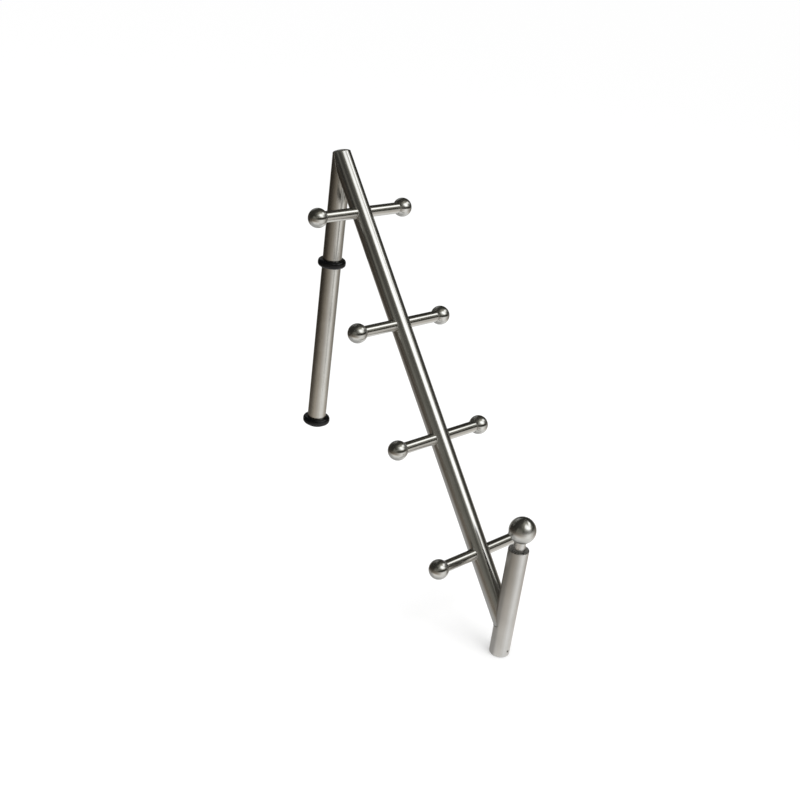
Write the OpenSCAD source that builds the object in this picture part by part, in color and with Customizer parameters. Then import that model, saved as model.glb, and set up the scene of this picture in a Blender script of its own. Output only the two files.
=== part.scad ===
// Plug-in bow boarding ladder: a leaning spine with ball-ended rungs, between a socket leg and a grab post.
// Millimetres, +Z up, +X from the leg to the post, +Y along the rungs.
// The origin is on the leg's axis, at the middle of the upper rubber ring.

/* [Tubes] */
// Outside diameter of the spine, leg and post tubes
tube_d = 42.4; // [38:0.1:46]
// Wall of the spine, leg and post tubes
tube_wall = 2; // [1.5:0.1:3]
// Lean of the spine from the vertical, in degrees
spine_lean = 38.5; // [32:0.5:44]

/* [Spine] */
// Along the spine from the corner, where its axis meets the leg's, to the top rung
corner_to_rung = 125; // [110:1:160]
// Along the spine from one rung to the next
rung_pitch = 250; // [200:1:300]
// Along the spine from the bottom rung to the post's axis
rung_to_post = 155; // [130:1:220]

/* [Corner] */
// Height of the corner above the upper ring's middle
corner_rise = 233; // [180:1:300]
// From the corner to the cap's top face, square to the cap
cap_rise = 14; // [12:0.5:20]
// Thickness of the cap that closes the corner
cap_t = 3; // [2:0.5:5]

/* [Leg] */
// Between the middles of the two rubber rings
ring_spacing = 384; // [250:1:500]
// Outside diameter of a rubber ring, which is the socket's bore less its clearance
ring_d = 62; // [56:0.5:70]
// Height of a rubber ring
ring_h = 17; // [12:0.5:20]
// Height of the straight band that bears on the socket
ring_land = 3; // [2:0.5:6]
// Straight part of the end plug's head
plug_rim = 3; // [2:0.5:6]
// Height of the dome under the end plug's head
plug_dome = 5; // [3:0.5:8]
// Depth of the end plug in the leg
plug_depth = 30; // [20:1:50]
// Thickness of one sealing fin of the end plug
plug_fin = 2; // [1:0.5:3]
// Depth of the fins
fin_depth = 2; // [1:0.5:4]

/* [Rungs] */
// Outside diameter of a rung
rung_d = 24; // [18:0.5:28]
// Wall of a rung
rung_wall = 2; // [1.5:0.1:3]
// From the spine's axis to the middle of a rung's ball
rung_reach = 118; // [100:1:150]
// Diameter of a rung's ball
rung_ball_d = 41; // [36:0.5:48]
// How far a rung goes past the middle of its ball
rung_past = 5; // [2:0.5:8]

/* [Post] */
// Height of the post's rim above the point where the spine's axis meets the post's
post_above = 181; // [160:1:240]
// Depth of the post's end below that point
post_below = 70; // [45:1:120]
// Height of the end cap's head
end_cap_h = 5; // [4:0.5:8]
// Rounding of the end cap's lower edge
end_cap_edge = 3; // [1:0.5:3.5]
// Depth of the end cap in the post
end_cap_depth = 18; // [14:1:30]
// Diameter of the rolled pin that holds the end cap
pin_d = 6; // [4:0.5:8]
// Height of the pin above the tube's lower end
pin_rise = 9; // [6:0.5:10]
// How far each end of the pin sits below the tube's skin
pin_sunk = 0.6; // [0.2:0.1:1]

/* [Grab rod] */
// Diameter of the sliding rod
rod_d = 24; // [18:0.5:28]
// Diameter of the rod's ball
grab_ball_d = 55; // [48:0.5:65]
// Height of the ball's middle above the post's rim, with the rod down
ball_rise = 44; // [36:1:60]
// How far the rod goes past the middle of its ball
rod_past = 7; // [3:0.5:12]
// Depth of the guide bush below the post's rim
bush_recess = 25; // [15:1:40]
// Length of the guide bush
bush_len = 40; // [25:1:50]
// Length of the piston on the rod's lower end
piston_len = 30; // [22:1:40]
// Diameter of the bolt's shoulder, on which the piston turns
shoulder_d = 12; // [8:0.5:14]
// Diameter of the bolt's thread
thread_d = 10; // [6:0.5:12]
// Length of the bolt's thread in the rod
thread_len = 20; // [12:1:30]
// Diameter of the bolt's head
head_d = 20; // [16:0.5:24]
// Height of the bolt's head
head_h = 7; // [5:0.5:9]
// Depth of the bolt's head below the piston's lower face
head_sunk = 2; // [1:0.5:4]

/* [Fits] */
// Radial gap round a piece that is let into another and fixed there
seat_fit = 0.05; // [0.02:0.01:0.2]
// Radial gap round a piece that slides or turns
run_fit = 0.1; // [0.05:0.01:0.1]
// Root gap of the weld between the spine and the post
weld_gap = 0.2; // [0.1:0.05:0.5]
// Play of the piston between the rod and the bolt's head
turn_play = 0.3; // [0.1:0.05:0.6]
// Chamfer on the ends of the turned pieces
lead_in = 1.5; // [0.5:0.5:3]

/* [Hidden] */
$fn = 96;
rung_count = 4;
tube_r = tube_d / 2;
bore_r = tube_r - tube_wall;
rung_r = rung_d / 2;
rod_r = rod_d / 2;
rung_half = rung_reach + rung_past;
spine_len = corner_to_rung + (rung_count - 1) * rung_pitch + rung_to_post;
// The mitre's cutters reach this far to each side of the corner
mitre_reach = 3 * tube_d;
leg_end_z = -ring_spacing - ring_h / 2;
ring_edge = (ring_h - ring_land) / 2;
dome_r = (tube_r * tube_r + plug_dome * plug_dome) / (2 * plug_dome);
// Post and grab rod, from the point where the spine's axis meets the post's
post_x = spine_len * sin(spine_lean);
joint_z = corner_rise - spine_len * cos(spine_lean);
post_rim_z = joint_z + post_above;
post_end_z = joint_z - post_below;
post_tube_z = post_end_z + end_cap_h;
post_tube_len = post_rim_z - post_tube_z;
pin_z = post_tube_z + pin_rise;
piston_z = post_tube_z + end_cap_depth;
rod_z = piston_z + piston_len + turn_play / 2;
bush_z = post_rim_z - bush_recess - bush_len;
grab_ball_z = post_rim_z + ball_rise;
counterbore_depth = head_sunk + head_h + turn_play / 2;
shoulder_len = piston_len - counterbore_depth + turn_play;
steel = [0.62, 0.60, 0.57];
bright_steel = [0.70, 0.69, 0.66];
black_rubber = [0.06, 0.06, 0.065];
white_nylon = [0.86, 0.85, 0.80];

// Placing
module on_spine_axis() {
    translate([0, 0, corner_rise])
        rotate([0, -spine_lean, 0])
            children();
}

// Upright here is the mitre's own direction, halfway between the spine and the leg
module on_mitre() {
    translate([0, 0, corner_rise])
        rotate([0, -spine_lean / 2, 0])
            children();
}

module at_rung(i) {
    along = corner_to_rung + (i - 1) * rung_pitch;
    translate([along * sin(spine_lean), 0, corner_rise - along * cos(spine_lean)])
        children();
}

module on_post_axis(z) {
    translate([post_x, 0, z])
        children();
}

// Bars and cutters that more than one piece is made from
module spine_bar(r, past_end) {
    on_spine_axis()
        translate([0, 0, -spine_len - past_end])
            cylinder(h = spine_len + past_end + mitre_reach, r = r);
}

module leg_bar(r, past_end) {
    translate([0, 0, leg_end_z - past_end])
        cylinder(h = corner_rise - leg_end_z + past_end + mitre_reach, r = r);
}

module cross_bar(r, half_length) {
    rotate([90, 0, 0])
        cylinder(h = 2 * half_length, r = r, center = true);
}

module mitre_side(side) {
    on_mitre()
        translate([side * mitre_reach, 0, 0])
            cube(2 * mitre_reach, center = true);
}

// Takes the mitre's point off under the cap
module mitre_point() {
    on_mitre()
        translate([0, 0, cap_rise - cap_t + mitre_reach])
            cube([4 * mitre_reach, 4 * mitre_reach, 2 * mitre_reach], center = true);
}

// A ball with a blind hole from below, for a bar that ends past its middle
module bored_ball(d, bar_r, past) {
    difference() {
        sphere(d = d);
        translate([0, 0, -d])
            cylinder(h = d + past, r = bar_r + seat_fit);
    }
}

module chamfered_hole(r, length) {
    translate([0, 0, -1])
        cylinder(h = length + 2, r = r);
    for (flip = [0, 1])
        translate([0, 0, flip * length])
            mirror([0, 0, flip])
                cylinder(h = lead_in, r1 = r + lead_in, r2 = r);
}

// Welded frame
module spine_tube() {
    color(steel)
    difference() {
        spine_bar(tube_r, 0);
        spine_bar(bore_r, 1);
        mitre_side(-1);
        mitre_point();
        on_post_axis(post_end_z)
            cylinder(h = post_above + post_below, r = tube_r + weld_gap);
        for (i = [1 : rung_count])
            at_rung(i)
                cross_bar(rung_r + seat_fit, tube_d);
    }
}

module leg_tube() {
    color(steel)
    difference() {
        leg_bar(tube_r, 0);
        leg_bar(bore_r, 1);
        mitre_side(1);
        mitre_point();
    }
}

// Above the corner the mitred tubes leave what both of them share, a pointed oval
module corner_cap() {
    color(steel)
    intersection() {
        leg_bar(tube_r, 0);
        spine_bar(tube_r, 0);
        on_mitre()
            translate([-tube_d, -tube_d, cap_rise - cap_t])
                cube([2 * tube_d, 2 * tube_d, cap_t]);
    }
}

module rung(i) {
    color(steel)
    at_rung(i)
        difference() {
            cross_bar(rung_r, rung_half);
            cross_bar(rung_r - rung_wall, rung_half + 1);
        }
}

module rung_ball(i, side) {
    color(bright_steel)
    at_rung(i)
        rotate([-90 * side, 0, 0])
            translate([0, 0, rung_reach])
                bored_ball(rung_ball_d, rung_r, rung_past);
}

// Leg fittings
module rubber_ring(z) {
    color(black_rubber)
    translate([0, 0, z])
        rotate_extrude()
            intersection() {
                translate([tube_r + seat_fit, -ring_h / 2])
                    square([ring_d / 2 - tube_r - seat_fit, ring_h]);
                union() {
                    translate([0, -ring_land / 2])
                        square([ring_d / 2, ring_land]);
                    translate([0, -ring_h / 2])
                        square([ring_d / 2 - ring_edge, ring_h]);
                    for (up = [-1, 1])
                        translate([ring_d / 2 - ring_edge, up * ring_land / 2])
                            circle(r = ring_edge);
                }
            }
}

module leg_end_plug() {
    fin_pitch = (plug_depth - plug_fin) / 4;
    color(black_rubber)
    translate([0, 0, leg_end_z])
        union() {
            translate([0, 0, -plug_rim])
                cylinder(h = plug_rim, r = tube_r);
            intersection() {
                translate([0, 0, -plug_rim - plug_dome])
                    cylinder(h = plug_dome, r = tube_r);
                translate([0, 0, dome_r - plug_rim - plug_dome])
                    sphere(r = dome_r);
            }
            cylinder(h = plug_depth, r = bore_r - fin_depth);
            for (i = [1 : 4])
                translate([0, 0, i * fin_pitch])
                    cylinder(h = plug_fin, r = bore_r - seat_fit);
        }
}

// Post and its fixed fittings
module post_tube() {
    color(steel)
    difference() {
        on_post_axis(post_tube_z)
            cylinder(h = post_tube_len, r = tube_r);
        on_post_axis(post_tube_z - 1)
            cylinder(h = post_tube_len + 2, r = bore_r);
        pin_hole();
    }
}

module pin_hole() {
    on_post_axis(pin_z)
        rotate([0, 90, 0])
            cylinder(h = 2 * tube_d, d = pin_d + 2 * seat_fit, center = true);
}

module post_end_cap() {
    color(steel)
    difference() {
        on_post_axis(post_end_z)
            rotate_extrude()
                union() {
                    square([tube_r - end_cap_edge, end_cap_h]);
                    translate([0, end_cap_edge])
                        square([tube_r, end_cap_h - end_cap_edge]);
                    translate([0, end_cap_h])
                        square([bore_r - seat_fit, end_cap_depth]);
                    intersection() {
                        translate([tube_r - end_cap_edge, end_cap_edge])
                            circle(r = end_cap_edge);
                        square([tube_r, end_cap_h]);
                    }
                }
        pin_hole();
    }
}

module end_cap_pin() {
    color(bright_steel)
    on_post_axis(pin_z)
        rotate([0, 90, 0])
            difference() {
                cylinder(h = tube_d - 2 * pin_sunk, d = pin_d, center = true);
                cylinder(h = tube_d, d = pin_d * 0.6, center = true);
                translate([0, pin_d / 2, 0])
                    cube([pin_d * 0.12, pin_d, tube_d], center = true);
            }
}

module guide_bush() {
    color(white_nylon)
    on_post_axis(bush_z)
        difference() {
            cylinder(h = bush_len, r = bore_r - seat_fit);
            chamfered_hole(rod_r + run_fit, bush_len);
        }
}

// Sliding and turning pieces
module rod_piston() {
    color(white_nylon)
    on_post_axis(piston_z)
        difference() {
            cylinder(h = piston_len, r = bore_r - run_fit);
            translate([0, 0, -1])
                cylinder(h = piston_len + 2, r = shoulder_d / 2 + run_fit);
            translate([0, 0, -1])
                cylinder(h = counterbore_depth + 1, r = head_d / 2 + turn_play);
        }
}

module piston_bolt() {
    color(bright_steel)
    on_post_axis(piston_z + head_sunk)
        difference() {
            union() {
                cylinder(h = head_h, d = head_d);
                translate([0, 0, head_h])
                    cylinder(h = shoulder_len, d = shoulder_d);
                translate([0, 0, head_h + shoulder_len])
                    cylinder(h = thread_len, d = thread_d);
            }
            translate([0, 0, -1])
                cylinder(h = head_h / 2 + 1, d = head_d / 2, $fn = 6);
        }
}

module grab_rod() {
    rod_len = grab_ball_z + rod_past - rod_z;
    color(steel)
    on_post_axis(rod_z)
        difference() {
            union() {
                cylinder(h = lead_in, r1 = rod_r - lead_in, r2 = rod_r);
                translate([0, 0, lead_in])
                    cylinder(h = rod_len - lead_in, r = rod_r);
            }
            translate([0, 0, -1])
                cylinder(h = thread_len + lead_in + 1, d = thread_d + 2 * seat_fit);
        }
}

module grab_ball() {
    color(bright_steel)
    on_post_axis(grab_ball_z)
        bored_ball(grab_ball_d, rod_r, rod_past);
}

spine_tube();
leg_tube();
corner_cap();
rubber_ring(0);  // upper_ring
rubber_ring(-ring_spacing);  // lower_ring
leg_end_plug();
rung(1);  // rung_1
rung(2);  // rung_2
rung(3);  // rung_3
rung(4);  // rung_4
rung_ball(1, -1);  // rung_1_ball_left
rung_ball(1, 1);  // rung_1_ball_right
rung_ball(2, -1);  // rung_2_ball_left
rung_ball(2, 1);  // rung_2_ball_right
rung_ball(3, -1);  // rung_3_ball_left
rung_ball(3, 1);  // rung_3_ball_right
rung_ball(4, -1);  // rung_4_ball_left
rung_ball(4, 1);  // rung_4_ball_right
post_tube();
post_end_cap();
end_cap_pin();
guide_bush();
rod_piston();
piston_bolt();
grab_rod();
grab_ball();
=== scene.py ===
import math

import bmesh
import bpy
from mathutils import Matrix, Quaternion, Vector


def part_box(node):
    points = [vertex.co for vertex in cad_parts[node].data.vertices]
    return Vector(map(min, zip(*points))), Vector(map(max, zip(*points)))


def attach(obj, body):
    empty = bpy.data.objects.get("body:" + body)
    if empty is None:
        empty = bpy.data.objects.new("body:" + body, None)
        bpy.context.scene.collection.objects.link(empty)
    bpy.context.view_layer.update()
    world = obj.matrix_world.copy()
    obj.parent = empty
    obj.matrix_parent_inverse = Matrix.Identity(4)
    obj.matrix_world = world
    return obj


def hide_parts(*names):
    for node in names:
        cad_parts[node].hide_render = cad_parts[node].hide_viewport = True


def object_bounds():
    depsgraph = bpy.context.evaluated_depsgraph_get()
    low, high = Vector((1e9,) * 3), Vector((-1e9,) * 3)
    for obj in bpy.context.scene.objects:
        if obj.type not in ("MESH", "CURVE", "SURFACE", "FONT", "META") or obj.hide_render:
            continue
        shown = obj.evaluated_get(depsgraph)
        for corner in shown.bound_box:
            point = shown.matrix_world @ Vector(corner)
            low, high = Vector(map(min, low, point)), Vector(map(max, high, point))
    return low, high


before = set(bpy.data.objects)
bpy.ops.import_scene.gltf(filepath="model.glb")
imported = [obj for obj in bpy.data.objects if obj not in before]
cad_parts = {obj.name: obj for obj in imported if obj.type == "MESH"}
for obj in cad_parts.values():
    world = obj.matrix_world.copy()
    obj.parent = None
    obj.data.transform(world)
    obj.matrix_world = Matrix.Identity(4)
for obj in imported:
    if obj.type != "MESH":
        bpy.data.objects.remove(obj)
CAD_LOW, CAD_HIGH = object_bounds()

FRAME_BODY = "ladder_frame"
HANDLE_BODY = "grab_handle"
RUNGS = ["rung_1", "rung_2", "rung_3", "rung_4"]
SIDES = ["left", "right"]
ALONG_RUNG = Vector((0, 1, 0))


# Sizes and places read from the frame
def middle(node):
    low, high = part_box(node)
    return (low + high) / 2


def extent(node):
    low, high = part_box(node)
    return high - low


TUBE_R = extent("leg_tube").x / 2
RUNG_R = extent("rung_1").x / 2
SPINE_DOWN = (middle("rung_4") - middle("rung_1")).normalized()
SPINE_LEAN = math.atan2(SPINE_DOWN.x, -SPINE_DOWN.z)
SPINE_ACROSS = ALONG_RUNG.cross(SPINE_DOWN)
CORNER = middle("rung_1") - SPINE_DOWN * (middle("rung_1").x / SPINE_DOWN.x)
POST_X = middle("post_tube").x
POST_JOINT = CORNER + SPINE_DOWN * (POST_X / SPINE_DOWN.x)
HALF_LEAN = SPINE_LEAN / 2
CAP_UNDER = (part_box("leg_tube")[1].z - CORNER.z) / math.cos(HALF_LEAN)
RING_SPACING = middle("upper_ring").z - middle("lower_ring").z
FLOOR_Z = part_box("post_end_cap")[0].z
OBJECT_MIDDLE = (CAD_LOW + CAD_HIGH) / 2

# Camera, as the photograph was taken
CAMERA_PLACE = Vector((1.7698, -1.5574, 0.7710))
CAMERA_AIM = Vector((0.3161, -0.0557, -0.1890))
CAMERA_ROLL = math.radians(7.575)
CAMERA_LENS_MM = 50.32
CAMERA_SENSOR_MM = 36.0
CAMERA_REACH = 200.0

# Colours, light and dark, of each finish
STEEL_LIGHT = (0.640, 0.630, 0.600)
STEEL_DARK = (0.560, 0.548, 0.515)
POST_LIGHT = (0.638, 0.632, 0.617)
POST_DARK = (0.558, 0.550, 0.531)
BALL_LIGHT = (0.650, 0.645, 0.620)
BALL_DARK = (0.570, 0.562, 0.535)
BORE_LIGHT = (0.64, 0.63, 0.61)
BORE_DARK = (0.54, 0.53, 0.51)
WELD_GREY = (0.540, 0.528, 0.500)
WELD_STRAW = (0.500, 0.460, 0.395)
RUBBER_BLACK = (0.0020, 0.0023, 0.0028)
RUBBER_DUST = (0.0060, 0.0062, 0.0068)
NYLON_WHITE = (0.78, 0.77, 0.71)
NYLON_SHADE = (0.70, 0.68, 0.61)

# Roughness of each finish, lowest and highest
LEG_SHEEN = (0.19, 0.27)
SPINE_SHEEN = (0.15, 0.22)
POST_SHEEN = (0.27, 0.37)
PIN_SHEEN = (0.30, 0.40)
ROD_SHEEN = (0.22, 0.32)
RUNG_SHEEN = (0.13, 0.20)
BALL_SHEEN = (0.17, 0.23)
BORE_SHEEN = (0.55, 0.75)
WELD_SHEEN = (0.26, 0.42)
RUBBER_SHEEN = (0.17, 0.30)
NYLON_SHEEN = (0.42, 0.60)
BORE_METALLIC = 0.15
RUBBER_SPECULAR = 0.36

# Polishing lines: along the tubes, and round the turned pieces
DRAWN_ALONG = (1.0, 1.0, 0.02)
TURNED_ROUND = (0.03, 0.03, 1.0)
LINE_SCALE = 900.0
LINE_NOISE = (4.0, 0.7)
LINE_CUT = 0.35
LINE_DEPTH = 0.000008
BALL_CUT = 0.1
SPINE_DRAWN = 0.7
BALL_DRAWN = 0.95
CLOUD_SCALE = 22.0
CLOUD_NOISE = (3.0, 0.55)
CLOUD_SHARE = 0.5
SMEAR_SHARE = 0.6

# Other patterns: scale, detail and roughness of the noise
STREAK_NOISE = (150.0, 2.0, 0.5)
SMEAR_NOISE = (61.0, 5.0, 0.62)
BORE_NOISE = (160.0, 4.0, 0.6)
WELD_TINT_NOISE = (45.0, 3.0, 0.5)
WELD_GRAIN_NOISE = (900.0, 3.0, 0.6)
DUST_NOISE = (130.0, 5.0, 0.65)
SKIN_NOISE = (1400.0, 2.0, 0.5)

# Which part of a noise's range goes from the dark colour to the light one
NOISE_BAND = (0.3, 0.7)
STEEL_BAND = (0.38, 0.62)
WELD_BAND = (0.52, 0.74)
DUST_BAND = (0.45, 0.85)

# Relief: bump strength and depth
WELD_RELIEF = (0.3, 0.0002)
RUBBER_RELIEF = (0.4, 0.0003)
NYLON_RELIEF = (0.3, 0.0002)
MOULD_LINE_HALF = 0.0003
SKIN_SHARE = 0.15

# Welds and edges
RUNG_BEAD_R = 0.0009
POST_BEAD_R = 0.0009
CORNER_BEAD_R = 0.0006
BEAD_PITCH_SHARE = 1.3
BEAD_SEED = 11
BEAD_SEGMENTS = 8
BEAD_RINGS = 6
BEAD_SMALLEST = 0.88
BEAD_LARGEST = 1.12
SEAM_STEPS = 96
RUNG_FILLET_R = 0.0010
GRAB_FILLET_R = 0.0030
FILLET_STEPS = 6
FILLET_SUNK_SHARE = 0.4
CAP_RIM = 0.0004
CAP_CROWN = 0.0051
CROWN_STEPS = 10
RIM_EDGE_ROUND = 0.0005
RIM_EDGE_STEPS = 4
RIM_NEAR = 0.0004
RIM_TURN = math.radians(40)
FLAT_TURN = math.radians(1)
SHARP_TURN = math.radians(35)
MERGE_GAP = 1e-5
PIN_BAND = 0.006
FACING_INWARD = -0.7


# Node helpers
def add_node(tree, kind, **settings):
    made = tree.nodes.new(kind)
    for name, value in settings.items():
        setattr(made, name, value)
    return made


def set_inputs(made, **values):
    for name, value in values.items():
        made.inputs[name].default_value = value


def feed(tree, value, socket):
    """Links an output to a socket, or sets the socket to a number."""
    if hasattr(value, "is_linked"):
        tree.links.new(value, socket)
    else:
        socket.default_value = value


def group_socket(tree, name, direction, kind, default=None):
    made = tree.interface.new_socket(name=name, in_out=direction, socket_type=kind)
    if default is not None:
        made.default_value = default


def math_node(tree, operation, *values):
    made = add_node(tree, "ShaderNodeMath", operation=operation)
    for value, socket in zip(values, made.inputs):
        feed(tree, value, socket)
    return made.outputs[0]


def noise_node(tree, vector, scale, detail, roughness):
    made = add_node(tree, "ShaderNodeTexNoise")
    set_inputs(made, Detail=detail, Roughness=roughness)
    feed(tree, scale, made.inputs["Scale"])
    tree.links.new(vector, made.inputs["Vector"])
    return made.outputs["Fac"]


def weighted(tree, first, second, share):
    """The first value times share, plus the second times what is left of 1."""
    part = math_node(tree, "MULTIPLY", first, share)
    return math_node(tree, "MULTIPLY_ADD", second, 1 - share, part)


# Shared effects
def make_polish_group():
    """Fine polishing lines, broad streaks beside them, cloudy tone and handling smears, each from 0 to 1."""
    tree = bpy.data.node_groups.new("polish_marks", "ShaderNodeTree")
    group_socket(tree, "Vector", "INPUT", "NodeSocketVector")
    group_socket(tree, "Line Stretch", "INPUT", "NodeSocketVector", DRAWN_ALONG)
    group_socket(tree, "Line Scale", "INPUT", "NodeSocketFloat", LINE_SCALE)
    group_socket(tree, "Cloud Scale", "INPUT", "NodeSocketFloat", CLOUD_SCALE)
    for name in ("Lines", "Streaks", "Clouds", "Smears"):
        group_socket(tree, name, "OUTPUT", "NodeSocketFloat")
    inlet = add_node(tree, "NodeGroupInput")
    outlet = add_node(tree, "NodeGroupOutput")
    place = inlet.outputs["Vector"]
    stretch = add_node(tree, "ShaderNodeVectorMath", operation="MULTIPLY")
    tree.links.new(place, stretch.inputs[0])
    tree.links.new(inlet.outputs["Line Stretch"], stretch.inputs[1])
    stretched = stretch.outputs[0]
    marks = {
        "Lines": noise_node(tree, stretched, inlet.outputs["Line Scale"], *LINE_NOISE),
        "Streaks": noise_node(tree, stretched, *STREAK_NOISE),
        "Clouds": noise_node(tree, place, inlet.outputs["Cloud Scale"], *CLOUD_NOISE),
        "Smears": noise_node(tree, place, *SMEAR_NOISE),
    }
    for name, mark in marks.items():
        tree.links.new(mark, outlet.inputs[name])
    return tree


def new_material(name):
    material = bpy.data.materials.new(name)
    material.use_nodes = True
    tree = material.node_tree
    shader = tree.nodes["Principled BSDF"]
    place = add_node(tree, "ShaderNodeTexCoord").outputs["Object"]
    return material, tree, shader, place


def turned_place(tree, place, centre, turn):
    """Object coordinates moved to a piece's middle and turned so that its axis is the local Z."""
    shift = add_node(tree, "ShaderNodeVectorMath", operation="SUBTRACT")
    shift.inputs[1].default_value = centre
    tree.links.new(place, shift.inputs[0])
    mapping = add_node(tree, "ShaderNodeMapping")
    mapping.inputs["Rotation"].default_value = turn
    tree.links.new(shift.outputs[0], mapping.inputs["Vector"])
    return mapping.outputs["Vector"]


def two_tone(tree, shader, factor, light, dark, band=NOISE_BAND):
    shades = add_node(tree, "ShaderNodeValToRGB")
    for stop, position, colour in zip(shades.color_ramp.elements, band, (dark, light)):
        stop.position = position
        stop.color = (*colour, 1.0)
    tree.links.new(factor, shades.inputs["Fac"])
    tree.links.new(shades.outputs["Color"], shader.inputs["Base Color"])


def set_sheen(tree, shader, factor, sheen):
    """Roughness that follows a noise between the two values of sheen."""
    spread = add_node(tree, "ShaderNodeMapRange")
    names = ("From Min", "From Max", "To Min", "To Max")
    set_inputs(spread, **dict(zip(names, (*NOISE_BAND, *sheen))))
    tree.links.new(factor, spread.inputs["Value"])
    tree.links.new(spread.outputs["Result"], shader.inputs["Roughness"])


def bump_normal(tree, shader, height, strength, distance):
    bump = add_node(tree, "ShaderNodeBump")
    set_inputs(bump, Strength=strength, Distance=distance)
    tree.links.new(height, bump.inputs["Height"])
    tree.links.new(bump.outputs["Normal"], shader.inputs["Normal"])


def draw_highlights(tree, shader, axis, drawn):
    """Lets highlights run out along the piece's axis, as on finely turned or drawn steel."""
    shader.inputs["Anisotropic"].default_value = drawn
    grain = add_node(tree, "ShaderNodeVectorTransform", vector_type="VECTOR")
    grain.convert_from = "OBJECT"
    grain.convert_to = "WORLD"
    grain.inputs[0].default_value = axis
    tree.links.new(grain.outputs[0], shader.inputs["Tangent"])


# Materials
def polished_steel(name, polish, centre, way, stretch, tones, sheen, cut=LINE_CUT, drawn=0.0):
    """Stainless steel with polishing lines.

    way is how the piece lies: the turn that stands it upright, and its axis. cut is how deep the lines look,
    and drawn how far its highlights run out along the axis.
    """
    turn, axis = way
    material, tree, shader, place = new_material(name)
    shader.inputs["Metallic"].default_value = 1.0
    if drawn:
        draw_highlights(tree, shader, axis, drawn)
    marks = add_node(tree, "ShaderNodeGroup", node_tree=polish)
    marks.inputs["Line Stretch"].default_value = stretch
    tree.links.new(turned_place(tree, place, centre, turn), marks.inputs["Vector"])
    lines = marks.outputs["Lines"]
    tone = weighted(tree, marks.outputs["Clouds"], marks.outputs["Streaks"], CLOUD_SHARE)
    two_tone(tree, shader, tone, *tones, STEEL_BAND)
    set_sheen(tree, shader, weighted(tree, marks.outputs["Smears"], lines, SMEAR_SHARE), sheen)
    bump_normal(tree, shader, lines, cut, LINE_DEPTH)
    return material


def bore_steel():
    """The post's bore, left dull and scaly."""
    material, tree, shader, place = new_material("bore_steel")
    shader.inputs["Metallic"].default_value = BORE_METALLIC
    scale = noise_node(tree, place, *BORE_NOISE)
    two_tone(tree, shader, scale, BORE_LIGHT, BORE_DARK)
    set_sheen(tree, shader, scale, BORE_SHEEN)
    return material


def weld_steel():
    """Bare weld metal with straw-coloured heat tint in patches."""
    material, tree, shader, place = new_material("weld_steel")
    shader.inputs["Metallic"].default_value = 1.0
    two_tone(tree, shader, noise_node(tree, place, *WELD_TINT_NOISE), WELD_STRAW, WELD_GREY, WELD_BAND)
    grain = noise_node(tree, place, *WELD_GRAIN_NOISE)
    set_sheen(tree, shader, grain, WELD_SHEEN)
    bump_normal(tree, shader, grain, *WELD_RELIEF)
    return material


def ring_rubber():
    """Black moulded rubber, a little dusty, with a mould line round the middle of each ring."""
    material, tree, shader, place = new_material("ring_rubber")
    shader.inputs["Specular IOR Level"].default_value = RUBBER_SPECULAR
    dust = noise_node(tree, place, *DUST_NOISE)
    two_tone(tree, shader, dust, RUBBER_DUST, RUBBER_BLACK, DUST_BAND)
    set_sheen(tree, shader, dust, RUBBER_SHEEN)
    height = add_node(tree, "ShaderNodeSeparateXYZ")
    tree.links.new(place, height.inputs[0])
    from_ring = math_node(tree, "PINGPONG", height.outputs["Z"], RING_SPACING / 2)
    mould_line = math_node(tree, "LESS_THAN", from_ring, MOULD_LINE_HALF)
    skin = noise_node(tree, place, *SKIN_NOISE)
    bump_normal(tree, shader, math_node(tree, "MULTIPLY_ADD", skin, SKIN_SHARE, mould_line), *RUBBER_RELIEF)
    return material


def turned_nylon(polish):
    """Off-white nylon with turning lines."""
    material, tree, shader, place = new_material("turned_nylon")
    marks = add_node(tree, "ShaderNodeGroup", node_tree=polish)
    marks.inputs["Line Stretch"].default_value = TURNED_ROUND
    tree.links.new(turned_place(tree, place, (POST_X, 0, 0), (0, 0, 0)), marks.inputs["Vector"])
    two_tone(tree, shader, marks.outputs["Clouds"], NYLON_WHITE, NYLON_SHADE)
    set_sheen(tree, shader, marks.outputs["Smears"], NYLON_SHEEN)
    bump_normal(tree, shader, marks.outputs["Lines"], *NYLON_RELIEF)
    return material


def dress_node(node, material):
    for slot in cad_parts[node].material_slots:
        slot.material = material


# Making pieces
def new_piece(name, mesh):
    piece = bpy.data.objects.new(name, mesh)
    bpy.context.scene.collection.objects.link(piece)
    return piece


def smooth_shade(mesh):
    mesh.shade_smooth()
    mesh.set_sharp_from_angle(angle=SHARP_TURN)


def closed_piece(name, vertices, faces, material):
    """A closed shape from points and faces, with its faces turned outwards."""
    mesh = bpy.data.meshes.new(name)
    mesh.from_pydata(vertices, [], faces)
    shape = bmesh.new()
    shape.from_mesh(mesh)
    bmesh.ops.recalc_face_normals(shape, faces=shape.faces)
    shape.to_mesh(mesh)
    shape.free()
    mesh.materials.append(material)
    smooth_shade(mesh)
    return new_piece(name, mesh)


# Welds
def rung_seam(rung, side):
    """Where a rung's skin meets the spine's, on one side of the spine."""
    centre = middle(rung)
    points = []
    for step in range(SEAM_STEPS):
        turn = 2 * math.pi * step / SEAM_STEPS
        across = RUNG_R * math.sin(turn)
        out = math.sqrt(TUBE_R ** 2 - across ** 2)
        down = SPINE_DOWN * RUNG_R * math.cos(turn)
        points.append(centre + down + SPINE_ACROSS * across + ALONG_RUNG * side * out)
    return points, True


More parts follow.
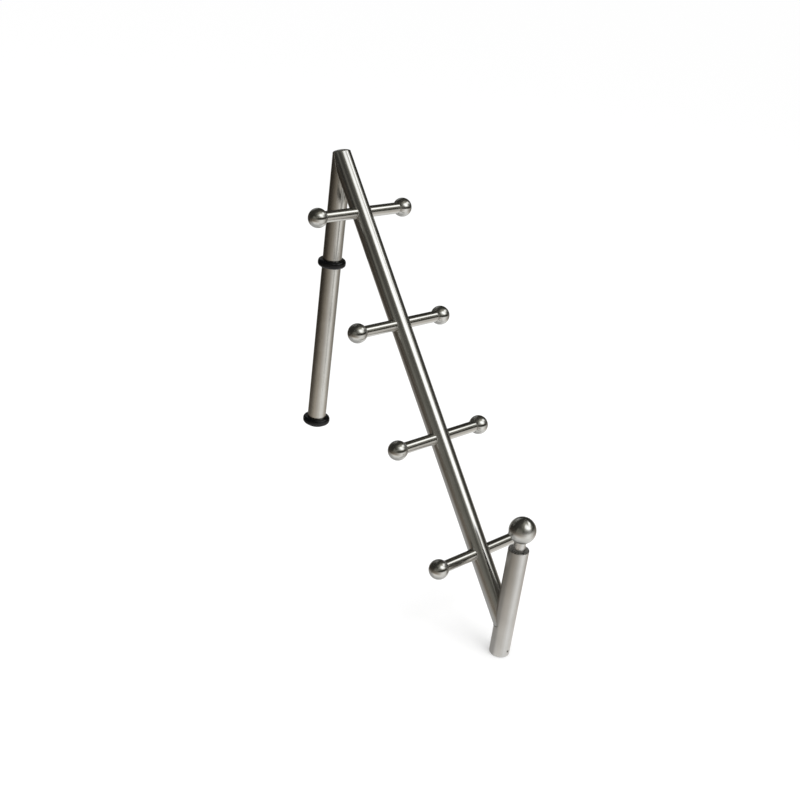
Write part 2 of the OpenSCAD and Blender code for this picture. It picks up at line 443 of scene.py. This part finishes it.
def post_seam():
    """The saddle where the spine meets the post, two tubes of one size."""
    points = []
    for step in range(2 * SEAM_STEPS):
        turn = math.pi * step / SEAM_STEPS
        across = TUBE_R * math.cos(turn)
        along = (-abs(across) - across * SPINE_ACROSS.x) / SPINE_DOWN.x
        side = ALONG_RUNG * TUBE_R * math.sin(turn)
        points.append(POST_JOINT + SPINE_ACROSS * across + SPINE_DOWN * along + side)
    return points, True


def corner_seam():
    """The mitre line between leg and spine, from one side under the cap round to the other."""
    reach = math.acos(-CAP_UNDER * math.sin(HALF_LEAN) / TUBE_R)
    points = []
    for step in range(SEAM_STEPS + 1):
        turn = reach * (2 * step / SEAM_STEPS - 1)
        out = TUBE_R * math.cos(turn)
        drop = out / math.tan(HALF_LEAN)
        points.append(CORNER + Vector((out, TUBE_R * math.sin(turn), -drop)))
    return points, False


def make_bead_tree():
    """Geometry Nodes: overlapping drops of weld along every seam."""
    tree = bpy.data.node_groups.new("weld_beads", "GeometryNodeTree")
    group_socket(tree, "Geometry", "INPUT", "NodeSocketGeometry")
    group_socket(tree, "Bead Radius", "INPUT", "NodeSocketFloat", RUNG_BEAD_R)
    group_socket(tree, "Bead Pitch", "INPUT", "NodeSocketFloat", RUNG_BEAD_R * BEAD_PITCH_SHARE)
    group_socket(tree, "Material", "INPUT", "NodeSocketMaterial")
    group_socket(tree, "Geometry", "OUTPUT", "NodeSocketGeometry")
    inlet = add_node(tree, "NodeGroupInput")
    outlet = add_node(tree, "NodeGroupOutput")
    seam = add_node(tree, "GeometryNodeMeshToCurve")
    spaced = add_node(tree, "GeometryNodeResampleCurve", mode="LENGTH")
    drop = add_node(tree, "GeometryNodeMeshUVSphere")
    set_inputs(drop, Segments=BEAD_SEGMENTS, Rings=BEAD_RINGS)
    heading = add_node(tree, "GeometryNodeInputTangent")
    aim = add_node(tree, "FunctionNodeAlignRotationToVector", axis="Z")
    size = add_node(tree, "FunctionNodeRandomValue", data_type="FLOAT")
    set_inputs(size, Seed=BEAD_SEED)
    size.inputs[2].default_value = BEAD_SMALLEST
    size.inputs[3].default_value = BEAD_LARGEST
    placed = add_node(tree, "GeometryNodeInstanceOnPoints")
    solid = add_node(tree, "GeometryNodeRealizeInstances")
    smooth = add_node(tree, "GeometryNodeSetShadeSmooth")
    finish = add_node(tree, "GeometryNodeSetMaterial")
    link = tree.links.new
    link(inlet.outputs["Geometry"], seam.inputs["Mesh"])
    link(seam.outputs["Curve"], spaced.inputs["Curve"])
    link(inlet.outputs["Bead Pitch"], spaced.inputs["Length"])
    link(inlet.outputs["Bead Radius"], drop.inputs["Radius"])
    link(heading.outputs["Tangent"], aim.inputs["Vector"])
    link(spaced.outputs["Curve"], placed.inputs["Points"])
    link(drop.outputs["Mesh"], placed.inputs["Instance"])
    link(aim.outputs["Rotation"], placed.inputs["Rotation"])
    link(size.outputs[1], placed.inputs["Scale"])
    link(placed.outputs["Instances"], solid.inputs["Geometry"])
    link(solid.outputs["Geometry"], smooth.inputs["Geometry"])
    link(smooth.outputs["Geometry"], finish.inputs["Geometry"])
    link(inlet.outputs["Material"], finish.inputs["Material"])
    link(finish.outputs["Geometry"], outlet.inputs["Geometry"])
    return tree


def input_name(tree, label):
    for item in tree.interface.items_tree:
        if item.item_type == "SOCKET" and item.in_out == "INPUT" and item.name == label:
            return item.identifier
    raise KeyError(label)


def settle_modifiers(piece):
    """Replaces a piece's live modifiers by their result."""
    ready = piece.evaluated_get(bpy.context.evaluated_depsgraph_get())
    mesh = bpy.data.meshes.new_from_object(ready)
    piece.modifiers.clear()
    piece.data = mesh


def follow_seams(name, seams, tree, radius, material):
    """Makes a weld from a tree that follows seams, each a list of points and whether it closes."""
    vertices = []
    edges = []
    for points, closed in seams:
        first = len(vertices)
        vertices += [tuple(point) for point in points]
        edges += [(i, i + 1) for i in range(first, len(vertices) - 1)]
        if closed:
            edges.append((len(vertices) - 1, first))
    mesh = bpy.data.meshes.new(name)
    mesh.from_pydata(vertices, edges, [])
    piece = new_piece(name, mesh)
    maker = piece.modifiers.new(tree.name, "NODES")
    maker.node_group = tree
    maker[input_name(tree, "Bead Radius")] = radius
    maker[input_name(tree, "Bead Pitch")] = radius * BEAD_PITCH_SHARE
    maker[input_name(tree, "Material")] = material
    settle_modifiers(piece)
    piece.data.materials.clear()
    piece.data.materials.append(material)
    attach(piece, FRAME_BODY)


def make_welds(material):
    tree = make_bead_tree()
    rung_seams = [rung_seam(rung, side) for rung in RUNGS for side in (-1, 1)]
    welds = [
        ("rung_welds", rung_seams, RUNG_BEAD_R),
        ("post_weld", [post_seam()], POST_BEAD_R),
        ("corner_weld", [corner_seam()], CORNER_BEAD_R),
    ]
    for name, seams, radius in welds:
        follow_seams(name, seams, tree, radius, material)


# Hollow rounds between the balls and their bars
def fillet_section(ball_r, bar_r, round_r):
    """Closed section of the round, as points (out from the bar's axis, along it from the ball's middle)."""
    out = bar_r + round_r
    along = math.sqrt((ball_r + round_r) ** 2 - out ** 2)
    sweep = math.atan2(along, out)
    section = []
    for step in range(FILLET_STEPS + 1):
        turn = math.pi + sweep * step / FILLET_STEPS
        section.append((out + round_r * math.cos(turn), along + round_r * math.sin(turn)))
    sunk = FILLET_SUNK_SHARE * round_r
    section.append((bar_r - sunk, math.sqrt(ball_r ** 2 - bar_r ** 2) - sunk))
    return section


def turned_ring(centre, way, section):
    """Vertices and faces of a closed section turned about way."""
    side = way.orthogonal().normalized()
    other = way.cross(side)
    count = len(section)
    vertices = []
    faces = []
    for step in range(SEAM_STEPS):
        turn = 2 * math.pi * step / SEAM_STEPS
        spoke = side * math.cos(turn) + other * math.sin(turn)
        here = step * count
        after = (step + 1) % SEAM_STEPS * count
        for i, (out, along) in enumerate(section):
            j = (i + 1) % count
            vertices.append(tuple(centre + spoke * out + way * along))
            faces.append((here + i, here + j, after + j, after + i))
    return vertices, faces


def make_fillets(name, balls, bar_r, round_r, body, material):
    """One piece with a round for each ball, given as its node and the way that its bar leaves it."""
    vertices = []
    faces = []
    for ball, way in balls:
        section = fillet_section(extent(ball).x / 2, bar_r, round_r)
        ring, sides = turned_ring(middle(ball), way, section)
        first = len(vertices)
        vertices += ring
        faces += [[first + corner for corner in face] for face in sides]
    piece = closed_piece(name, vertices, faces, material)
    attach(piece, body)


def make_ball_fillets(rung_finish, grab_finish):
    rung_balls = []
    for rung in RUNGS:
        rung_balls.append((rung + "_ball_left", ALONG_RUNG))
        rung_balls.append((rung + "_ball_right", -ALONG_RUNG))
    make_fillets("rung_ball_fillets", rung_balls, RUNG_R, RUNG_FILLET_R, FRAME_BODY, rung_finish)
    grab_balls = [("grab_ball", Vector((0, 0, -1)))]
    rod_r = extent("grab_rod").x / 2
    make_fillets("grab_ball_fillet", grab_balls, rod_r, GRAB_FILLET_R, HANDLE_BODY, grab_finish)


# Pieces that stand for a plainer solid
def cap_outline():
    """The corner cap's pointed oval, square to the mitre, as (across the mitre, along the rungs)."""
    inner = TUBE_R / math.cos(HALF_LEAN)
    shift = CAP_UNDER * math.tan(HALF_LEAN)
    tip = TUBE_R * math.sqrt(1 - (shift / inner) ** 2)
    outline = []
    for side in (-1, 1):
        for step in range(SEAM_STEPS):
            along = -side * tip * math.cos(math.pi * step / SEAM_STEPS)
            across = inner * math.sqrt(1 - (along / TUBE_R) ** 2) - shift
            outline.append((side * across, along))
    return outline


def make_corner_cap(material):
    """A crowned cap: rings of the outline that draw in and rise to the middle, over a flat underside."""
    up = Vector((-math.sin(HALF_LEAN), 0, math.cos(HALF_LEAN)))
    across_way = Vector((math.cos(HALF_LEAN), 0, math.sin(HALF_LEAN)))
    outline = cap_outline()
    count = len(outline)
    levels = [(1.0, 0.0)]
    for step in range(CROWN_STEPS):
        share = math.cos(0.5 * math.pi * step / CROWN_STEPS)
        levels.append((share, CAP_RIM + CAP_CROWN * math.sqrt(1 - share ** 2)))
    vertices = []
    for share, rise in levels:
        for across, along in outline:
            flat = across_way * across * share + ALONG_RUNG * along * share
            vertices.append(tuple(CORNER + up * (CAP_UNDER + rise) + flat))
    vertices.append(tuple(CORNER + up * (CAP_UNDER + CAP_RIM + CAP_CROWN)))
    faces = [tuple(range(count))]
    for ring in range(len(levels) - 1):
        for i in range(count):
            j = (i + 1) % count
            low = ring * count
            faces.append((low + i, low + j, low + count + j, low + count + i))
    last = (len(levels) - 1) * count
    for i in range(count):
        faces.append((last + i, last + (i + 1) % count, len(vertices) - 1))
    piece = closed_piece("corner_cap_dressed", vertices, faces, material)
    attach(piece, FRAME_BODY)
    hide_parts("corner_cap")


def make_post_tube(material, bore_material):
    """The post's tube with a rounded rim, and a duller bore."""
    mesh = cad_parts["post_tube"].data.copy()
    mesh.materials.clear()
    mesh.materials.append(material)
    mesh.materials.append(bore_material)
    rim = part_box("post_tube")[1].z
    pin = middle("end_cap_pin").z
    shape = bmesh.new()
    shape.from_mesh(mesh)
    bmesh.ops.remove_doubles(shape, verts=shape.verts, dist=MERGE_GAP)
    bmesh.ops.dissolve_limit(shape, angle_limit=FLAT_TURN, verts=shape.verts, edges=shape.edges)
    sharp = []
    for edge in shape.edges:
        at_rim = all(corner.co.z > rim - RIM_NEAR for corner in edge.verts)
        if at_rim and edge.calc_face_angle(0.0) > RIM_TURN:
            sharp.append(edge)
    bevel = {"offset": RIM_EDGE_ROUND, "segments": RIM_EDGE_STEPS, "profile": 0.5, "affect": "EDGES"}
    bmesh.ops.bevel(shape, geom=sharp, **bevel)
    for height in (pin - PIN_BAND, pin + PIN_BAND):
        parts = list(shape.verts) + list(shape.edges) + list(shape.faces)
        bmesh.ops.bisect_plane(shape, geom=parts, plane_co=(0, 0, height), plane_no=(0, 0, 1))
    shape.normal_update()
    for face in shape.faces:
        centre = face.calc_center_median()
        out = Vector((centre.x - POST_X, centre.y, 0)).normalized()
        face.material_index = 1 if face.normal.dot(out) < FACING_INWARD else 0
    shape.to_mesh(mesh)
    shape.free()
    smooth_shade(mesh)
    piece = new_piece("post_tube_dressed", mesh)
    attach(piece, FRAME_BODY)
    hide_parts("post_tube")


def dress_ladder():
    polish = make_polish_group()
    upright = ((0, 0, 0), (0, 0, 1))
    lying = ((math.radians(90), 0, 0), ALONG_RUNG)
    leaning = ((0, SPINE_LEAN, 0), SPINE_DOWN)
    crosswise = ((0, math.radians(90), 0), (1, 0, 0))
    leg_axis = (0, 0, 0)
    post_axis = (POST_X, 0, 0)
    leg_tones = (STEEL_LIGHT, STEEL_DARK)
    post_tones = (POST_LIGHT, POST_DARK)
    ball_tones = (BALL_LIGHT, BALL_DARK)

    def tube_steel(name, centre, way, sheen, tones=leg_tones, drawn=0.0):
        return polished_steel(name, polish, centre, way, DRAWN_ALONG, tones, sheen, drawn=drawn)

    def ball_steel(name, centre, way):
        finish = (TURNED_ROUND, ball_tones, BALL_SHEEN, BALL_CUT, BALL_DRAWN)
        return polished_steel(name, polish, centre, way, *finish)

    leg_steel = tube_steel("leg_steel", leg_axis, upright, LEG_SHEEN)
    dress_node("leg_tube", leg_steel)
    dress_node("spine_tube", tube_steel("spine_steel", CORNER, leaning, SPINE_SHEEN, post_tones, SPINE_DRAWN))
    post_steel = tube_steel("post_steel", post_axis, upright, POST_SHEEN, post_tones)
    dress_node("post_tube", post_steel)
    dress_node("end_cap_pin", tube_steel("pin_steel", middle("end_cap_pin"), crosswise, PIN_SHEEN))
    rod_steel = polished_steel("rod_steel", polish, post_axis, upright, TURNED_ROUND, post_tones, ROD_SHEEN)
    for node in ("post_end_cap", "grab_rod", "piston_bolt"):
        dress_node(node, rod_steel)
    end_steels = {}
    for rung in RUNGS:
        dress_node(rung, tube_steel(rung + "_steel", middle(rung), lying, RUNG_SHEEN))
        end_steels[rung] = ball_steel(rung + "_ball_steel", middle(rung), lying)
        for side in SIDES:
            dress_node(f"{rung}_ball_{side}", end_steels[rung])
    dress_node("grab_ball", ball_steel("grab_ball_steel", middle("grab_ball"), upright))
    rubber = ring_rubber()
    for node in ("upper_ring", "lower_ring", "leg_end_plug"):
        dress_node(node, rubber)
    nylon = turned_nylon(polish)
    for node in ("guide_bush", "rod_piston"):
        dress_node(node, nylon)
    make_welds(weld_steel())
    make_corner_cap(leg_steel)
    make_post_tube(post_steel, bore_steel())
    make_ball_fillets(end_steels["rung_1"], rod_steel)


# What the polished steel mirrors: a dim room, windows high on the camera's right, a pale ground.
# A turn is in degrees to the camera's right and a rise is an elevation. A fade is where it starts and ends.
LIT_SIDE = 57
LIT_FALLOFF = 2
ROOM_DARK = 0.035
ROOM_LIT = 0.26
ROOM_FALLOFF = 4
ROOM_FADE = (12, 26)
CEILING_DARK = 0.05
CEILING_LIT = 0.40
CEILING_FADE = (40, 70)
HORIZON_FADE = (-2, 7)
GROUND_DARK = 0.03
GROUND_LIT = 0.45
GROUND_FALLOFF_LEFT = 1.3
GROUND_FALLOFF_RIGHT = 2.0
GROUND_GLARE = 0.66
GLARE_FALLOFF = 10
GROUND_NEAR_DARK = 0.48
GROUND_NEAR_LIT = 0.96
NEAR_LIT_FADE = (0.10, 0.45)
NEAR_FADE = (20, 44)
GROUND_UNDER = 0.50
UNDER_FADE = (45, 85)
REAR_GROUND = 0.42
REAR_FADE = (20, 48)
WINDOW = 2.0
WINDOW_TURN = 56
WINDOW_RISE = 44
WINDOW_LEAN = 0.6
WINDOW_FADE = (12, 29)
ROOM_TINT = (1.02, 1.00, 0.87)
GROUND_SHADE_TINT = (1.17, 1.00, 0.79)
GROUND_LIT_TINT = (1.00, 1.00, 0.99)
WINDOW_TINT = (0.98, 1.00, 1.02)

# Lit openings: brightness, tint, and the pane's left, right, foot and head
PANES = [
    (0.19, ROOM_TINT, (-60, 8, -6, 34)),
    (2.1, WINDOW_TINT, (84, 136, 33, 62)),
    (0.35, WINDOW_TINT, (-178, -130, 10, 46)),
]
PANE_LEFT_FADE = 16
PANE_RIGHT_FADE = 18
PANE_FOOT_FADE = 9
PANE_HEAD_FADE = 14

# Studio sizes and light
SHELL_R = 6.0
SHELL_COLUMNS = 120
SHELL_ROWS = 60
FLOOR_HALF = 40.0
FLOOR_PALE = (0.88, 0.88, 0.88, 1.0)
FLOOR_ROUGHNESS = 0.9
FLOOR_LIFT = 0.20
SKY_LIGHT = 0.9
SKY_LIFT = 0.1
WHITE = (1.0, 1.0, 1.0, 1.0)
KEY_SIZE = (2.2, 1.6)
KEY_POWER = 34.0
KEY_FROM_LADDER = Vector((2.2, 0.2, 2.6))


def fade(value, start, end):
    """Goes softly from 0 at start to 1 at end."""
    share = min(max((value - start) / (end - start), 0.0), 1.0)
    return share * share * (3 - 2 * share)


def mix(first, second, share):
    return first + (second - first) * share


def mix_tint(first, second, share):
    return [mix(one, other, share) for one, other in zip(first, second)]


def in_pane(turn, rise, left, right, foot, head):
    """How far inside a pane's soft edges a direction is, from 0 to 1."""
    across = fade(turn, left, left + PANE_LEFT_FADE) * (1 - fade(turn, right - PANE_RIGHT_FADE, right))
    return across * fade(rise, foot, foot + PANE_FOOT_FADE) * (1 - fade(rise, head - PANE_HEAD_FADE, head))


def from_window(turn, rise):
    """Angle between a direction and the middle of the main window, in degrees."""
    high = math.sin(math.radians(rise)) * math.sin(math.radians(WINDOW_RISE))
    flat = math.cos(math.radians(rise)) * math.cos(math.radians(WINDOW_RISE))
    middle_turn = WINDOW_TURN + WINDOW_LEAN * (WINDOW_RISE - rise)
    near = high + flat * math.cos(math.radians(turn - middle_turn))
    return math.degrees(math.acos(min(max(near, -1.0), 1.0)))


def room_glow(turn, rise):
    """Colour of the room in a direction."""
    facing = (1 + math.cos(math.radians(turn - LIT_SIDE))) / 2
    lit = facing ** LIT_FALLOFF
    wall = mix(ROOM_DARK, ROOM_LIT, facing ** ROOM_FALLOFF * fade(rise, *ROOM_FADE))
    spread = facing ** (GROUND_FALLOFF_LEFT if turn < LIT_SIDE else GROUND_FALLOFF_RIGHT)
    far = GROUND_DARK + GROUND_LIT * spread + GROUND_GLARE * facing ** GLARE_FALLOFF
    near = mix(GROUND_NEAR_DARK, GROUND_NEAR_LIT, fade(facing, *NEAR_LIT_FADE))
    behind = 1 - fade(180 - abs(turn), *REAR_FADE)
    far = mix(far, REAR_GROUND, behind)
    close = fade(-rise, *NEAR_FADE)
    ground = mix(mix(far, near, close), GROUND_UNDER, fade(-rise, *UNDER_FADE))
    below = fade(-rise, *HORIZON_FADE)
    ceiling = mix(CEILING_DARK, CEILING_LIT, lit)
    level = mix(wall, ceiling, fade(rise, *CEILING_FADE))
    level = mix(level, ground, below)
    ground_tint = mix_tint(GROUND_SHADE_TINT, GROUND_LIT_TINT, max(lit, close, behind))
    tint = mix_tint(ROOM_TINT, ground_tint, below)
    openings = [(light, glass, in_pane(turn, rise, *edges)) for light, glass, edges in PANES]
    openings.append((WINDOW, WINDOW_TINT, 1 - fade(from_window(turn, rise), *WINDOW_FADE)))
    for light, glass, share in openings:
        level = mix(level, light, share)
        tint = mix_tint(tint, glass, share)
    return [level * part for part in tint]


def glow_material(name, attribute):
    """Light that takes its colour from a mesh's attribute, and is not sampled as a lamp."""
    material = bpy.data.materials.new(name)
    material.use_nodes = True
    tree = material.node_tree
    tree.nodes.clear()
    colour = add_node(tree, "ShaderNodeVertexColor", layer_name=attribute)
    light = add_node(tree, "ShaderNodeEmission")
    out = add_node(tree, "ShaderNodeOutputMaterial")
    tree.links.new(colour.outputs["Color"], light.inputs["Color"])
    tree.links.new(light.outputs[0], out.inputs["Surface"])
    material.cycles.emission_sampling = "NONE"
    return material


def make_room():
    """A shell round the set that only reflections see."""
    toward_camera = CAMERA_PLACE - OBJECT_MIDDLE
    camera_turn = math.atan2(toward_camera.y, toward_camera.x)
    vertices = []
    glow = []
    for row in range(SHELL_ROWS + 1):
        rise = -90 + 180 * row / SHELL_ROWS
        for column in range(SHELL_COLUMNS):
            turn = -180 + 360 * column / SHELL_COLUMNS
            angle = camera_turn + math.radians(turn)
            flat = math.cos(math.radians(rise))
            way = Vector((math.cos(angle) * flat, math.sin(angle) * flat, math.sin(math.radians(rise))))
            vertices.append(tuple(OBJECT_MIDDLE + way * SHELL_R))
            glow.append(room_glow(turn, rise))
    faces = []
    for row in range(SHELL_ROWS):
        for column in range(SHELL_COLUMNS):
            after = (column + 1) % SHELL_COLUMNS
            low = row * SHELL_COLUMNS
            high = low + SHELL_COLUMNS
            faces.append((low + column, high + column, high + after, low + after))
    mesh = bpy.data.meshes.new("room")
    mesh.from_pydata(vertices, [], faces)
    tone = mesh.color_attributes.new("glow", "FLOAT_COLOR", "POINT")
    for point, colour in zip(tone.data, glow):
        point.color = (*colour, 1.0)
    mesh.materials.append(glow_material("room", "glow"))
    room = new_piece("room", mesh)
    room.visible_camera = False
    room.visible_diffuse = False
    room.visible_shadow = False


def seen_rays(tree):
    """1 for the rays that show the backdrop, 0 for those that only light the set."""
    rays = add_node(tree, "ShaderNodeLightPath")
    seen = math_node(tree, "MAXIMUM", rays.outputs["Is Camera Ray"], rays.outputs["Is Glossy Ray"])
    return math_node(tree, "MAXIMUM", seen, rays.outputs["Is Transmission Ray"])


def make_floor():
    """A pale floor that keeps the shadow. The steel mirrors the room in its place."""
    mesh = bpy.data.meshes.new("floor")
    corners = [(x * FLOOR_HALF, y * FLOOR_HALF, FLOOR_Z) for x, y in ((-1, -1), (1, -1), (1, 1), (-1, 1))]
    mesh.from_pydata(corners, [], [(0, 1, 2, 3)])
    material = bpy.data.materials.new("floor")
    material.use_nodes = True
    tree = material.node_tree
    shader = tree.nodes["Principled BSDF"]
    shader.inputs["Base Color"].default_value = FLOOR_PALE
    shader.inputs["Roughness"].default_value = FLOOR_ROUGHNESS
    shader.inputs["Specular IOR Level"].default_value = 0.0
    shader.inputs["Emission Color"].default_value = WHITE
    lift = math_node(tree, "MULTIPLY", seen_rays(tree), FLOOR_LIFT)
    tree.links.new(lift, shader.inputs["Emission Strength"])
    mesh.materials.append(material)
    floor = new_piece("floor", mesh)
    floor.visible_glossy = False


def make_world():
    world = bpy.data.worlds.new("studio")
    world.use_nodes = True
    bpy.context.scene.world = world
    tree = world.node_tree
    sky = tree.nodes["Background"]
    sky.inputs["Color"].default_value = WHITE
    strength = math_node(tree, "MULTIPLY_ADD", seen_rays(tree), SKY_LIFT, SKY_LIGHT)
    tree.links.new(strength, sky.inputs["Strength"])
    world.cycles_visibility.glossy = False


def make_key_lamp():
    lamp = bpy.data.lights.new("key", "AREA")
    lamp.shape = "RECTANGLE"
    lamp.size, lamp.size_y = KEY_SIZE
    lamp.energy = KEY_POWER
    key = bpy.data.objects.new("key", lamp)
    key.location = OBJECT_MIDDLE + KEY_FROM_LADDER
    key.rotation_mode = "QUATERNION"
    key.rotation_quaternion = (OBJECT_MIDDLE - key.location).to_track_quat("-Z", "Y")
    key.visible_glossy = False
    bpy.context.scene.collection.objects.link(key)


def make_camera():
    lens = bpy.data.cameras.new("camera")
    lens.lens = CAMERA_LENS_MM
    lens.sensor_width = CAMERA_SENSOR_MM
    lens.clip_end = CAMERA_REACH
    camera = bpy.data.objects.new("camera", lens)
    camera.location = CAMERA_PLACE
    camera.rotation_mode = "QUATERNION"
    level = (CAMERA_AIM - CAMERA_PLACE).to_track_quat("-Z", "Y")
    camera.rotation_quaternion = level @ Quaternion((0, 0, 1), CAMERA_ROLL)
    bpy.context.scene.collection.objects.link(camera)
    bpy.context.scene.camera = camera


make_camera()
dress_ladder()
make_room()
make_floor()
make_world()
make_key_lamp()
bpy.context.scene.view_settings.view_transform = "Standard"
